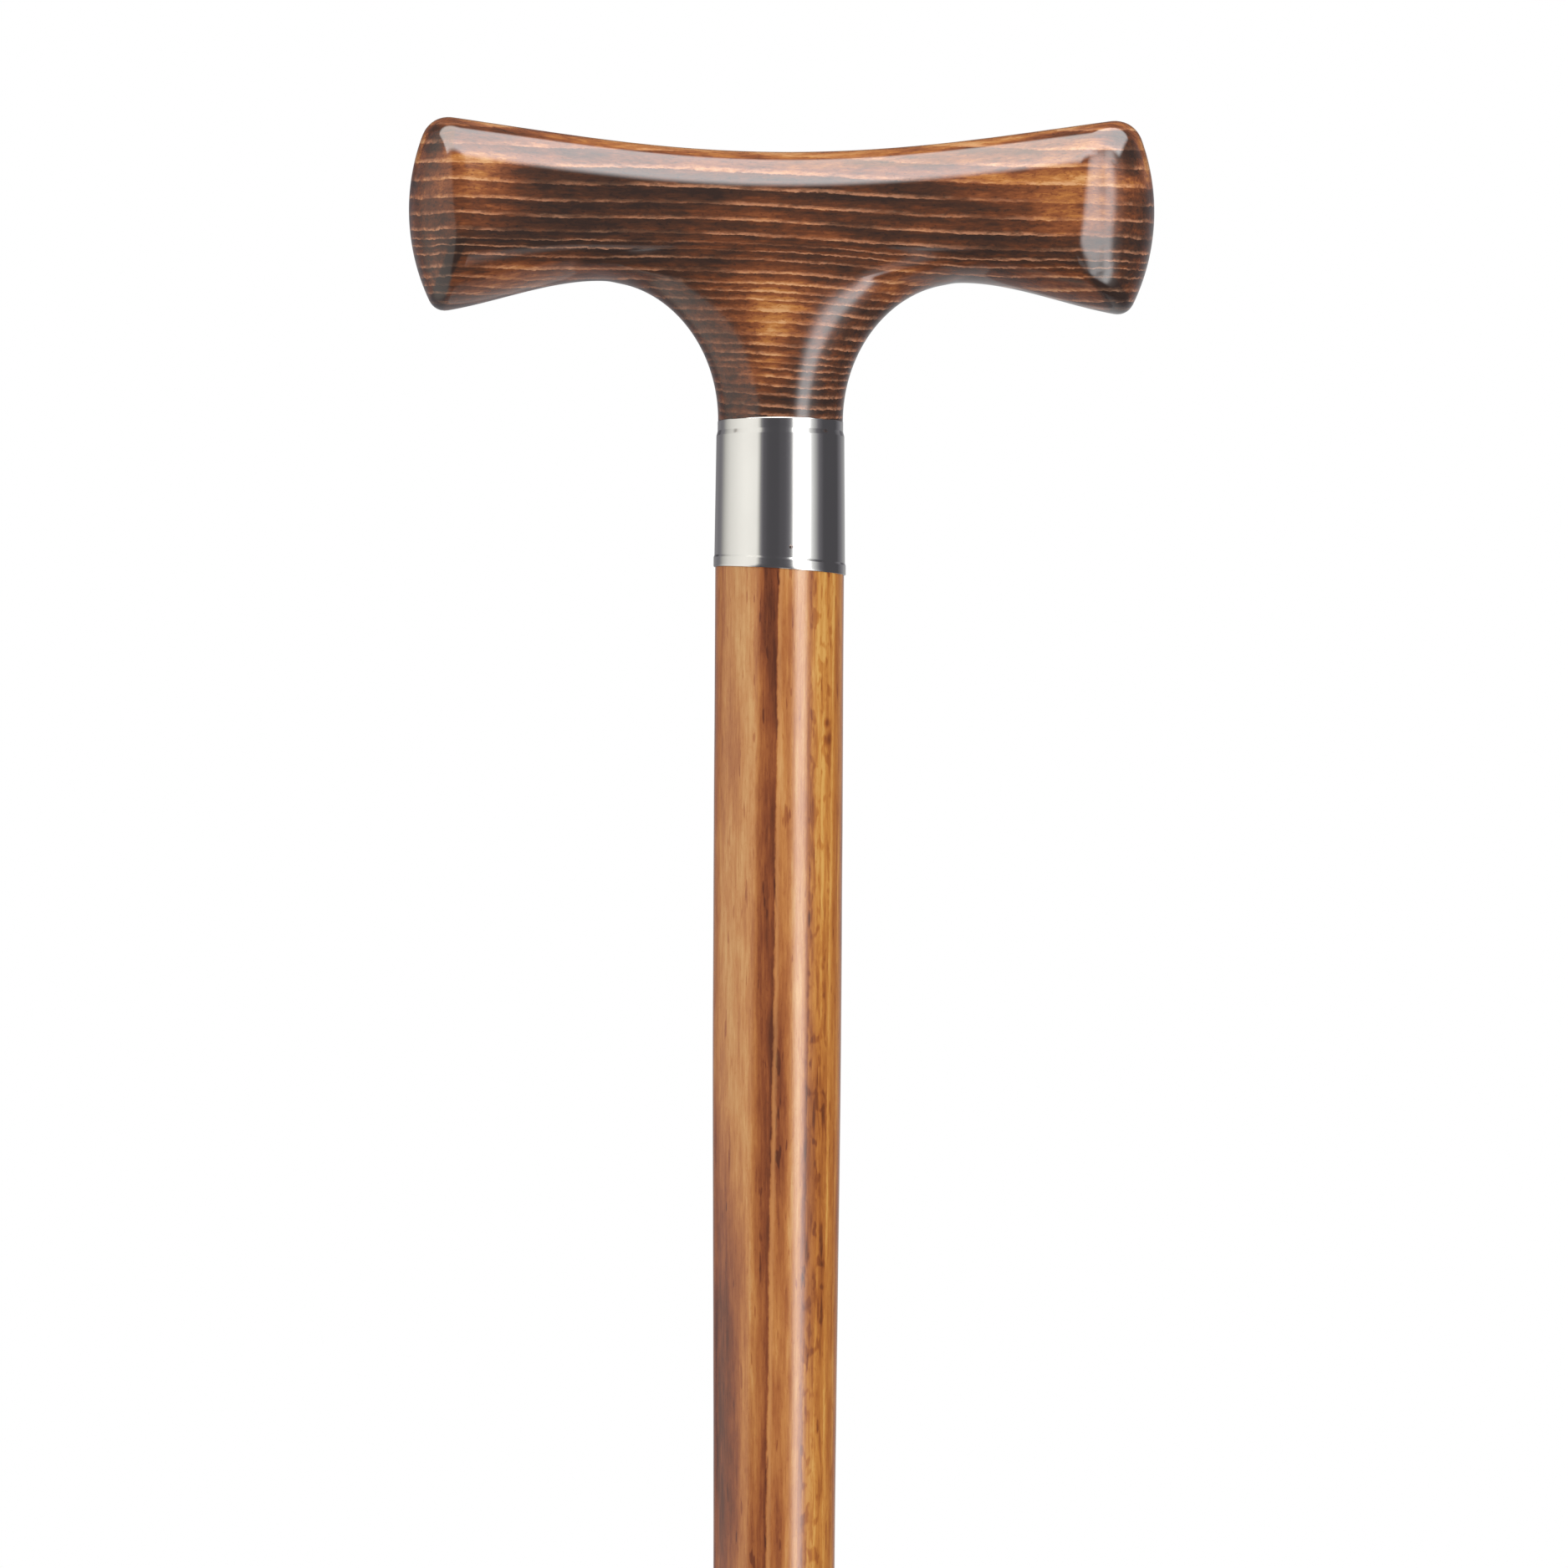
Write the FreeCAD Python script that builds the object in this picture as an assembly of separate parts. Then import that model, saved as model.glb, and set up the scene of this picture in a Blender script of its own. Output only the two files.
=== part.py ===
import FreeCAD, Part
import math
import os
from FreeCAD import Vector

# Wooden walking cane with a T handle. All lengths are in millimetres.
# The origin is the centre of the rubber ferrule's sole and +Z runs up the shaft.
# The arms of the handle lie along X, and the collar's brad is on the -Y side.

# Whole cane
rim_height = 871.4              # floor to the collar's upper rim, where the wood of the neck starts
clean_through = 1.0             # overrun of every cutting solid, so that no skin is left behind

# Collar, a thin sleeve over the joint of handle and shaft
collar_radius = 10.3            # outside, under the stepped lip
collar_length = 24.5
collar_taper = 0.25             # gain of that radius down to the bead
lip_step = 0.2                  # the lip is this much slimmer than the collar
lip_height = 1.8
lip_step_height = 0.6
lip_wall = 0.55
bead_proud = 0.1
bead_height = 1.5
collar_edge_rounding = 0.12

# Handle, heights from the collar's upper rim
handle_span = 120.0
saddle_height = 43.35           # top of the handle over the shaft
crest_gain = 5.9                # rise of the top line from the saddle to the ends
side_height = 28.0              # height at which the arms are deepest
arm_underside = 22.55           # underside of the arms where they leave the neck
heel_drop = 5.5                 # drop of the underside from there to the ends
waist_half_depth = 12.3         # half depth of the arms over the shaft
flare_half_depth = 5.6          # gain of that half depth towards the ends
top_roundness = 2.3             # exponent of the section above its deepest line, 2 is an ellipse
under_roundness = 1.9           # exponent of the section below it
arm_sections = 10
outline_points = 36

# Domed ends of the arms
dome_plan_radius = 19.0         # seen from above
dome_profile_radius = 34.0      # seen from the front
dome_height = 33.7              # height of the dome's outermost point over the rim
dome_flat_inset = 0.05          # the dome ends in a tiny flat, this far inside its point
dome_sections = 12
ridge_sharpness = 14            # exponent that rounds the ridge between a dome and the arm

# Neck of the handle
neck_inset = 0.05               # the wood at the rim is this much slimmer than the collar's lip
arch_width = 19.3               # the arch under each arm is a quarter of an ellipse
arch_height = 22.45
shoulder_reach = 16.0           # growth of the neck inside the arms, above the arch
lens_roundness = 1.7            # exponent of the neck's section where it ends inside the arms
neck_sections = 9
shoulder_sections = 6

# Tenons of handle and shaft, which meet inside the collar
tenon_clearance = 0.03
handle_tenon_length = 10.0

# Threaded stud that holds the handle, with its thread as plain rings
stud_radius = 4.0
stud_thread_depth = 0.6
stud_pitch = 1.25
stud_in_handle = 34.0
stud_in_shaft = 40.0
glue_gap = 0.05                 # glue film around the stud
stud_end_gap = 0.25             # glue at the bottoms of the stud's two bores

# Brad that pins the collar to the shaft's tenon
brad_below_rim = 20.7
brad_azimuth = -80.1            # degrees from +X, a little to the right of the front
brad_head_radius = 0.32
brad_head_height = 0.3
brad_head_proud = 0.1
brad_head_rounding = 0.08
brad_shank_radius = 0.25
brad_length = 4.6
brad_clearance = 0.02

# Shaft
shaft_inset = 0.19              # the wood is this much slimmer than the collar above it
cylinder_length = 57.0          # turned parallel below the collar, then tapered
upper_taper_length = 100.0
upper_taper_radius = 9.77
middle_taper_length = 330.0
middle_taper_radius = 8.85
tip_radius = 7.9
tip_rounding = 0.5
tip_shoulder = 2.0              # parallel length of the tip left above the ferrule

# Rubber ferrule
ferrule_height = 42.0
ferrule_wall = 3.6              # at the rim
ferrule_wall_gain = 0.7         # down to the cove
ferrule_rim_proud = 0.7
ferrule_rim_height = 3.2
ferrule_rim_rounding = 0.6
rib_count = 2
rib_spacing = 4.6
rib_radius = 0.7
cove_top = 17.0
cove_bottom = 6.5
cove_sag = 1.6                  # hollow of the cove between body and sole
sole_flare = 5.0                # the sole stands out this far from the body
sole_rounding = 1.5
socket_floor = 10.0
socket_clearance = 0.05
socket_mouth_chamfer = 0.8

# Tread of the ferrule's sole
tread_groove_count = 3
tread_groove_depth = 1.3
tread_groove_width = 1.5
tread_land_width = 2.2
centre_land_radius = 4.0

# Steel disc at the bottom of the ferrule's socket
washer_thickness = 1.6
washer_edge_gap = 0.25
washer_rounding = 0.2

# Places and radii that follow from the sizes above
half_span = handle_span / 2
lip_radius = collar_radius - lip_step
collar_bore_radius = lip_radius - lip_wall
collar_bottom = rim_height - collar_length
neck_radius = lip_radius - neck_inset
arch_reach = neck_radius + arch_width
tenon_radius = collar_bore_radius - tenon_clearance
tenon_joint = rim_height - handle_tenon_length
shaft_top_radius = collar_radius + collar_taper - shaft_inset
socket_radius = tip_radius + socket_clearance
tip_height = socket_floor + washer_thickness
dome_axis = half_span - dome_plan_radius
pole_share = 3 / (2 + math.cos(2 * math.pi / outline_points))  # control points lie outside the skin


def level(height):
    """Height over the floor of a height over the collar's rim."""
    return rim_height + height


def smooth_step(share):
    """Rises from 0 to 1 with level ends."""
    kept = min(max(share, 0.0), 1.0)
    return kept * kept * (3 - 2 * kept)


def corner(radius, height):
    return Vector(radius, 0, height)


def turn(edges):
    """Solid turned about Z from edges that close an outline."""
    outline = Part.Wire(edges)
    return Part.Face(outline).revolve(Vector(0, 0, 0), Vector(0, 0, 1), 360)


def turn_corners(corners):
    """Solid turned about Z from the corners of a closed outline."""
    return turn(Part.makePolygon(corners + corners[:1]).Edges)


def cylinder(radius, bottom, top):
    return Part.makeCylinder(radius, top - bottom, Vector(0, 0, bottom))


def round_rims(shape, rounding, rims):
    """Rounds the circular edges at the given (radius, height) rims."""
    chosen = []
    for edge in shape.Edges:
        box = edge.BoundBox
        for radius, height in rims:
            same_height = max(abs(box.ZMin - height), abs(box.ZMax - height)) < rounding / 2
            if same_height and abs(box.XMax - radius) < rounding / 2:
                chosen.append(edge)
    return shape.makeFillet(rounding, chosen)


def wrap(outlines):
    """Closed solid whose skin is one smooth surface, drawn by outlines of control points."""
    around = len(outlines[0])
    spans = len(outlines) - 3
    poles = [[outline[index] for outline in outlines] for index in range(around)]
    around_knots = list(range(around + 1))
    along_knots = list(range(spans + 1))
    along_repeats = [4] + [1] * (spans - 1) + [4]
    surface = Part.BSplineSurface()
    surface.buildFromPolesMultsKnots(
        poles, [1] * (around + 1), along_repeats, around_knots, along_knots, True, False, 3, 3
    )
    side = surface.toShape()
    rims = [edge for edge in side.Edges if not edge.isSeam(side)]
    shell = Part.makeShell([side] + [Part.Face(Part.Wire([rim])) for rim in rims])
    shell.sewShape()
    solid = Part.makeSolid(shell)
    if solid.Volume < 0:
        solid.reverse()
    return solid


def power_circle(angle, roundness):
    """Point of a unit circle that its exponent squares up or draws in."""
    across = math.copysign(abs(math.cos(angle)) ** (2 / roundness), math.cos(angle))
    up = math.copysign(abs(math.sin(angle)) ** (2 / roundness), math.sin(angle))
    return across, up


# Handle

def top_line(x):
    """The handle's top seen from the front: a saddle that levels off at the ends."""
    share = abs(x) / half_span
    return saddle_height + crest_gain * share ** 2 * (3 - share ** 2) / 2


def under_line(x):
    """The arms' underside seen from the front."""
    share = (abs(x) - arch_reach) / (half_span - arch_reach)
    return arm_underside - heel_drop * smooth_step(share)


def half_depth(x):
    return waist_half_depth + flare_half_depth * (abs(x) / half_span) ** 3


def dome_share(x, across, up):
    """How far the dome lets a point of the arm's outline stand out from the dome's centre line."""
    back = abs(x) - dome_axis
    if back <= 0:
        return 1.0
    depth = math.sqrt(dome_plan_radius ** 2 - back ** 2)
    height = math.sqrt(dome_profile_radius ** 2 - (back + dome_profile_radius - dome_plan_radius) ** 2)
    skin_share = 1 / math.hypot(across / depth, up / height)
    return skin_share / (1 + skin_share ** ridge_sharpness) ** (1 / ridge_sharpness)


def arm_outline(x):
    """Egg-shaped section of the arms across X, drawn in where the dome rounds the end."""
    points = []
    for index in range(outline_points):
        angle = 2 * math.pi * index / outline_points
        upper = math.sin(angle) >= 0
        across, up = power_circle(angle, top_roundness if upper else under_roundness)
        reach = top_line(x) - side_height if upper else side_height - under_line(x)
        y = half_depth(x) * across * pole_share
        z = side_height + reach * up * pole_share - dome_height
        kept = dome_share(x, y, z)
        points.append(Vector(x, y * kept, level(dome_height + z * kept)))
    return points


def make_arms():
    """Both arms as one solid from the end of one dome to the end of the other."""
    dome_end = dome_plan_radius - dome_flat_inset
    turns = [math.pi / 2 * (index + 1) / dome_sections for index in range(dome_sections)]
    dome_stations = [dome_axis + dome_end * math.sin(turn_angle) for turn_angle in turns]
    arm_shares = [2 * index / (arm_sections - 1) - 1 for index in range(arm_sections)]
    stations = [-x for x in reversed(dome_stations)]
    stations += [dome_axis * share for share in arm_shares]
    stations += dome_stations
    return wrap([arm_outline(x) for x in stations])


def neck_outline(half_width, height):
    """Horizontal section of the neck: a circle at the collar, a pointed lens inside the arms."""
    rise = smooth_step(height / side_height)
    depth = neck_radius + (waist_half_depth - neck_radius) * rise
    roundness = 2 + (lens_roundness - 2) * rise
    points = []
    for index in range(outline_points):
        across, along = power_circle(2 * math.pi * index / outline_points, roundness)
        x = half_width * across * pole_share
        points.append(Vector(x, depth * along * pole_share, level(height)))
    return points


def make_neck():
    """Trumpet that rises from the collar along the arches and turns up inside the arms."""
    outlines = []
    for index in range(neck_sections):
        angle = math.pi / 2 * index / (neck_sections - 1)
        half_width = arch_reach - arch_width * math.cos(angle)
        outlines.append(neck_outline(half_width, arch_height * math.sin(angle)))
    for index in range(1, shoulder_sections):
        angle = math.pi / 2 * index / (shoulder_sections - 1)
        half_width = arch_reach + shoulder_reach * math.sin(angle)
        height = side_height - (side_height - arch_height) * math.cos(angle)
        outlines.append(neck_outline(half_width, height))
    return wrap(outlines)


def make_handle():
    tenon = cylinder(tenon_radius, tenon_joint, rim_height)
    bore_end = tenon_joint + stud_in_handle + stud_end_gap
    bore = cylinder(stud_radius + glue_gap, tenon_joint - clean_through, bore_end)
    return make_arms().fuse(make_neck()).fuse(tenon).cut(bore)


# Stud inside handle and shaft

def make_stud():
    root = stud_radius - stud_thread_depth
    bottom = tenon_joint - stud_in_shaft
    top = tenon_joint + stud_in_handle
    turns = round((top - bottom) / stud_pitch)
    pitch = (top - bottom) / turns
    corners = [corner(0, bottom), corner(root, bottom)]
    for index in range(turns):
        corners.append(corner(stud_radius, bottom + pitch * (index + 1 / 2)))
        corners.append(corner(root, bottom + pitch * (index + 1)))
    corners.append(corner(0, top))
    return turn_corners(corners)


# Collar and its brad

def collar_radius_at(height):
    """Outside radius of the collar's tapered wall at a height over the floor."""
    top = rim_height - lip_height - lip_step_height
    share = (top - height) / (top - collar_bottom)
    return collar_radius + collar_taper * share


def brad_cylinder(radius, inner, outer):
    """Upright to the collar's wall, between two distances from the shaft's axis."""
    azimuth = math.radians(brad_azimuth)
    outward = Vector(math.cos(azimuth), math.sin(azimuth), 0)
    start = outward * inner + Vector(0, 0, rim_height - brad_below_rim)
    return Part.makeCylinder(radius, outer - inner, start, outward)


def brad_seat():
    """Distances of the head's underside, the wall and the brad's end from the axis."""
    wall = collar_radius_at(rim_height - brad_below_rim)
    under_head = wall + brad_head_proud - brad_head_height
    return under_head, wall, wall - brad_length


def make_collar():
    lip_bottom = rim_height - lip_height
    step_bottom = lip_bottom - lip_step_height
    bead_top = collar_bottom + bead_height
    bead_radius = collar_radius_at(collar_bottom) + bead_proud
    corners = [
        corner(collar_bore_radius, collar_bottom),
        corner(bead_radius, collar_bottom),
        corner(bead_radius, bead_top),
        corner(collar_radius_at(bead_top + bead_proud), bead_top + bead_proud),
        corner(collar_radius, step_bottom),
        corner(lip_radius, lip_bottom),
        corner(lip_radius, rim_height),
        corner(collar_bore_radius, rim_height),
    ]
    collar = turn_corners(corners)
    rims = [(bead_radius, collar_bottom), (lip_radius, rim_height)]
    collar = round_rims(collar, collar_edge_rounding, rims)
    under_head, wall, end = brad_seat()
    head_hole = brad_cylinder(brad_head_radius + brad_clearance, under_head, wall + clean_through)
    shank_hole = brad_cylinder(brad_shank_radius + brad_clearance, end, wall)
    return collar.cut(head_hole).cut(shank_hole)


def make_brad():
    under_head, wall, end = brad_seat()
    head = brad_cylinder(brad_head_radius, under_head, wall + brad_head_proud)
    crown = []
    for edge in head.Edges:
        reach = edge.CenterOfMass - Vector(0, 0, edge.CenterOfMass.z)
        if reach.Length > wall and edge.Closed:
            crown.append(edge)
    head = head.makeFillet(brad_head_rounding, crown)
    return head.fuse(brad_cylinder(brad_shank_radius, end, under_head))


# Shaft

def taper_curve():
    """Long gentle taper from the ferrule up to the parallel part below the collar."""
    cylinder_end = collar_bottom - cylinder_length
    upper = cylinder_end - upper_taper_length
    middle = upper - middle_taper_length
    start = ferrule_height + tip_shoulder
    places = [
        corner(tip_radius, start),
        corner(middle_taper_radius, middle),
        corner(upper_taper_radius, upper),
        corner(shaft_top_radius, cylinder_end),
    ]
    curve = Part.BSplineCurve()
    start_slope = (places[1] - places[0]).normalize()
    curve.interpolate(Points=places, InitialTangent=start_slope, FinalTangent=Vector(0, 0, 1))
    return curve.toShape(), places


def make_shaft():
    taper, places = taper_curve()
    below = [corner(0, tip_height), corner(tip_radius, tip_height), places[0]]
    above = [
        places[-1],
        corner(shaft_top_radius, collar_bottom),
        corner(tenon_radius, collar_bottom),
        corner(tenon_radius, tenon_joint),
        corner(0, tenon_joint),
        below[0],
    ]
    edges = Part.makePolygon(below).Edges + [taper] + Part.makePolygon(above).Edges
    shaft = round_rims(turn(edges), tip_rounding, [(tip_radius, tip_height)])
    bore_end = tenon_joint - stud_in_shaft - stud_end_gap
    shaft = shaft.cut(cylinder(stud_radius + glue_gap, bore_end, tenon_joint + clean_through))
    under_head, wall, end = brad_seat()
    return shaft.cut(brad_cylinder(brad_shank_radius + brad_clearance, end, wall))


# Ferrule and its disc

def ferrule_radius_at(height):
    """Outside radius of the ferrule's body between the cove and the rim."""
    share = (ferrule_height - ferrule_rim_height - height) / (ferrule_height - ferrule_rim_height - cove_top)
    return socket_radius + ferrule_wall + ferrule_wall_gain * share


def cove_arc(low, high):
    """Hollow arc between two corners of the ferrule's outline."""
    middle = (low + high) / 2
    chord = high - low
    inward = corner(-chord.z, chord.x).normalize()
    return Part.Arc(low, middle + inward * cove_sag, high).toShape()


def make_blank():
    """The ferrule without its ribs and tread."""
    rim_bottom = ferrule_height - ferrule_rim_height
    body_radius = ferrule_radius_at(cove_top)
    top_radius = ferrule_radius_at(rim_bottom)
    rim_radius = top_radius + ferrule_rim_proud
    sole_radius = body_radius + sole_flare
    below = [corner(0, 0), corner(sole_radius, 0), corner(sole_radius, cove_bottom)]
    above = [
        corner(body_radius, cove_top),
        corner(top_radius, rim_bottom),
        corner(rim_radius, rim_bottom + ferrule_rim_proud),
        corner(rim_radius, ferrule_height),
        corner(socket_radius + socket_mouth_chamfer, ferrule_height),
        corner(socket_radius, ferrule_height - socket_mouth_chamfer),
        corner(socket_radius, socket_floor),
        corner(0, socket_floor),
        corner(0, 0),
    ]
    cove = cove_arc(below[-1], above[0])
    blank = turn(Part.makePolygon(below).Edges + [cove] + Part.makePolygon(above).Edges)
    blank = round_rims(blank, sole_rounding, [(sole_radius, 0), (sole_radius, cove_bottom)])
    return round_rims(blank, ferrule_rim_rounding, [(rim_radius, ferrule_height)])


def make_ferrule():
    ferrule = make_blank()
    for index in range(rib_count):
        height = ferrule_height - ferrule_rim_height - rib_spacing * (index + 1)
        ring_radius = ferrule_radius_at(height) - rib_radius / 2
        ferrule = ferrule.fuse(Part.makeTorus(ring_radius, rib_radius, Vector(0, 0, height)))
    for index in range(tread_groove_count):
        inner = centre_land_radius + (tread_groove_width + tread_land_width) * index
        ring = cylinder(inner + tread_groove_width, -clean_through, tread_groove_depth)
        ferrule = ferrule.cut(ring.cut(cylinder(inner, -clean_through, tread_groove_depth)))
    return ferrule


def make_washer():
    radius = socket_radius - washer_edge_gap
    disc = cylinder(radius, socket_floor, tip_height)
    return round_rims(disc, washer_rounding, [(radius, socket_floor), (radius, tip_height)])


pieces = {
    "handle": make_handle(),
    "handle_stud": make_stud(),
    "collar": make_collar(),
    "collar_brad": make_brad(),
    "shaft": make_shaft(),
    "ferrule": make_ferrule(),
    "ferrule_washer": make_washer(),
}

os.makedirs("parts", exist_ok=True)
for name, shape in pieces.items():
    shape.exportStep("parts/" + name + ".step")
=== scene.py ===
import itertools
import math

import bmesh
import bpy
import numpy as np
from mathutils import Matrix, Vector


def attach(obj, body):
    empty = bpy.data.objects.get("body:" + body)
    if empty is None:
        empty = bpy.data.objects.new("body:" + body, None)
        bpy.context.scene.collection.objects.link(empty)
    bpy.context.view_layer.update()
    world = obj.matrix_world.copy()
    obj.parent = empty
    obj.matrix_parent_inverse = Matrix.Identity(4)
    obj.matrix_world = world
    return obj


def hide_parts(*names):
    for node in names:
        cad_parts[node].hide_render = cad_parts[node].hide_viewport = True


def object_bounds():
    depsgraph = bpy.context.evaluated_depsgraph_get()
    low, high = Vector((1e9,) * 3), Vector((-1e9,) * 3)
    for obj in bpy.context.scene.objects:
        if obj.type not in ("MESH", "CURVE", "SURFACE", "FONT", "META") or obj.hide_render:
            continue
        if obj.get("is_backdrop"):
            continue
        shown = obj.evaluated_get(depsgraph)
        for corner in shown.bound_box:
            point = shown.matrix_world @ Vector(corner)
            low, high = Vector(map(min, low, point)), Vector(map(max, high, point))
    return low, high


# Wooden walking cane with a T handle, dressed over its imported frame. Blender lengths are in metres.
# The handle's own shapes and every finish are worked out in millimetres from the collar's upper rim.
MM = 0.001
RIM = 871.4                     # height of the collar's upper rim over the floor

# Handle
HALF_SPAN = 59.95
SADDLE = 43.2
CREST_GAIN = 5.85
SIDE = 28.0                     # height at which the arms are deepest
UNDERSIDE = 22.55
HEEL_DROP = 5.5
WAIST_DEPTH = 12.3
FLARE_DEPTH = 5.6
TOP_ROUNDNESS = 2.3
END_BOXINESS = 0.7              # how much squarer the arms' section gets at the ends
UNDER_ROUNDNESS = 2.0
DOME_PLAN = 19.0
RIGHT_DOME_PLAN = 17.3          # the right dome breaks away a little earlier
DOME_PROFILE = 34.0
DOME_HEIGHT = 33.7
NECK_RADIUS = 10.05
ARCH_WIDTH = 19.3
ARCH_HEIGHT = 22.45
ARCH_END = 22.1                 # above this height the arch goes on straight, inside the arms
ARCH_REACH = NECK_RADIUS + ARCH_WIDTH
LEFT_RIDGE = 1.9                # width over which the left dome's ridge is rounded
RIGHT_RIDGE = 5.5
TOP_RIDGE = 3.6                 # both ridges on top of the handle
SHOULDER_BLEND = 0.9            # how softly the neck flows into the arms
SKIN_STEP = 0.62                # size of the handle's mesh

# Tenons inside the collar
TENON_RADIUS = 9.52
TENON_END = RIM - 10.0          # where the handle's tenon stands on the shaft's

# Collar, heights from its upper rim
COLLAR_HEIGHT = 24.5
FOOT_RADIUS = 10.65
COLLAR_RADIUS = 10.3
LIP_RADIUS = 10.1
BORE_RADIUS = 9.55
SLANT_AT_LEFT = 0.98            # how much the lower edge is raised at the left
SLANT = 0.060                   # and how much lower it gets for each millimetre to the right
SLANT_BLEND = 8.0               # height over which the slant fades out

# Brad
BRAD_AZIMUTH = -80.1
BRAD_SEAT = 10.53
BRAD_DROP = 20.7

# Shaft, heights over the floor
TIP_HEIGHT = 11.6
SHOULDER_HEIGHT = RIM - COLLAR_HEIGHT
TAPER = [                       # (height, radius, slope)
    (44.0, 7.9, 0.0030), (359.9, 8.85, 0.0029), (689.9, 9.77, 0.0042),
    (789.9, 10.36, 0.0), (SHOULDER_HEIGHT, 10.36, 0.0),
]

# Ferrule, heights over the floor
SOLE_RADIUS = 17.24
TREAD_DEPTH = 1.3
GROOVES = [4.0, 7.7, 11.4]      # where each groove of the tread starts
FERRULE_HEIGHT = 42.0
SOCKET_RADIUS = 7.95
SOCKET_FLOOR = 10.0

# Camera
CAMERA_DISTANCE = 0.82
CAMERA_HEIGHT = 0.813
CAMERA_SIDE = 0.0009
CAMERA_ROLL = 0.325
PHOTO_WIDTH = 0.2524            # width of the photograph's field at the cane
SENSOR = 36.0

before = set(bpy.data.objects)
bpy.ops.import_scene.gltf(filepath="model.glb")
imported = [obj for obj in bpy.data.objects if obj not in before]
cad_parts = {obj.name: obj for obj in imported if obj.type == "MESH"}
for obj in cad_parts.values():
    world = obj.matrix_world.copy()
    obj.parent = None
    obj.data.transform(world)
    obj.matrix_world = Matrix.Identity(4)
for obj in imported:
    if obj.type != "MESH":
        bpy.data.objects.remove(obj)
cad_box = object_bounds()


# Meshes

def make_piece(name, points, faces, body, stands_for=()):
    """A mesh piece in metres that rides on a body and takes the place of CAD nodes."""
    mesh = bpy.data.meshes.new(name)
    mesh.from_pydata([tuple(p) for p in points], [], [tuple(f) for f in faces])
    mesh.update()
    mesh.shade_smooth()
    piece = bpy.data.objects.new(name, mesh)
    bpy.context.scene.collection.objects.link(piece)
    if body:
        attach(piece, body)
    if stands_for:
        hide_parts(*stands_for)
    return piece


def band_faces(rows, segments):
    """Quads between rings of points, each ring with the next one."""
    faces = []
    for low, high in rows:
        for index in range(segments):
            after = (index + 1) % segments
            faces.append(tuple(ring * segments + place
                               for ring, place in ((low, index), (low, after), (high, after), (high, index))))
    return faces


def turned_mesh(outline, segments, wave=None, closed=False):
    """Points and faces of an outline of (radius, height) turned about the cane's axis."""
    outline = np.array(outline, float)
    angles = np.linspace(0, 2 * math.pi, segments, endpoint=False)
    radius = outline[:, 0][:, None] * np.ones(segments)
    height = outline[:, 1][:, None] * np.ones(segments)
    if wave is not None:
        radius = radius + wave(radius, angles[None, :], height)
    points = np.stack([radius * np.cos(angles), radius * np.sin(angles), height], -1).reshape(-1, 3)
    rows = len(outline)
    faces = band_faces([(row, (row + 1) % rows) for row in range(rows if closed else rows - 1)], segments)
    if not closed:
        faces.append(tuple(reversed(range(segments))))
        faces.append(tuple(range((rows - 1) * segments, rows * segments)))
    return points, faces


def crisp(piece, degrees):
    """Keeps edges sharper than this angle crisp and smooths the rest."""
    piece.data.set_sharp_from_angle(angle=math.radians(degrees))
    return piece


def fillet(before, corner, after, radius, steps=6):
    """Points of an arc that rounds one corner of an outline."""
    b, c, a = (np.array(p, float) for p in (before, corner, after))
    to_b = (b - c) / np.linalg.norm(b - c)
    to_a = (a - c) / np.linalg.norm(a - c)
    half = math.acos(max(-1.0, min(1.0, float(to_b @ to_a)))) / 2
    reach = radius / math.tan(half)
    centre = c + (to_b + to_a) / np.linalg.norm(to_b + to_a) * radius / math.sin(half)
    start, end = c + to_b * reach - centre, c + to_a * reach - centre
    turn = math.atan2(start[0] * end[1] - start[1] * end[0], float(start @ end))
    points = []
    for index in range(steps + 1):
        angle = turn * index / steps
        cosine, sine = math.cos(angle), math.sin(angle)
        points.append((centre[0] + start[0] * cosine - start[1] * sine,
                       centre[1] + start[0] * sine + start[1] * cosine))
    return points


def rounded(outline, steps=6):
    """Outline of (radius, height, rounding) corners with each corner rounded."""
    points = []
    for index, (radius, height, rounding) in enumerate(outline):
        if rounding <= 0 or index in (0, len(outline) - 1):
            points.append((radius, height))
            continue
        before, after = outline[index - 1][:2], outline[index + 1][:2]
        points += fillet(before, (radius, height), after, rounding, steps)
    return points


def long_rows(outline, step):
    """Divides the long runs of an outline, so that they can carry a gentle wave."""
    points = [outline[0]]
    for low, high in zip(outline, outline[1:]):
        count = max(1, round(math.dist(low, high) / step))
        for index in range(1, count + 1):
            share = index / count
            points.append(tuple(a + (b - a) * share for a, b in zip(low, high)))
    return points


# Skin of the handle

def smooth_step(share):
    kept = np.clip(share, 0, 1)
    return kept * kept * (3 - 2 * kept)


def soft_most(first, second, width):
    """The larger of two fields, rounded where they meet."""
    near = np.maximum(width - np.abs(first - second), 0) / width
    return np.maximum(first, second) + near * near * width / 4


def slope(field, points, step=0.02):
    """Gradient of a field at points."""
    parts = []
    for axis in range(3):
        shift = np.zeros(3)
        shift[axis] = step
        parts.append((field(points + shift) - field(points - shift)) / (2 * step))
    return np.stack(parts, -1)


def as_distance(raw, points):
    """Turns a raw field into one that grows by about 1 per millimetre."""
    direction = slope(raw, points)
    return raw(points) / np.maximum(np.linalg.norm(direction, axis=-1), 1e-6)


def neck_half_width(z):
    """The neck follows the arches, then opens out straight inside the arms."""
    low = np.clip(z, 0, ARCH_END) / ARCH_HEIGHT
    end_share = ARCH_END / ARCH_HEIGHT
    end_slope = ARCH_WIDTH * end_share / ARCH_HEIGHT / math.sqrt(1 - end_share ** 2)
    return ARCH_REACH - ARCH_WIDTH * np.sqrt(1 - low ** 2) + np.maximum(z - ARCH_END, 0) * end_slope


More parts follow.
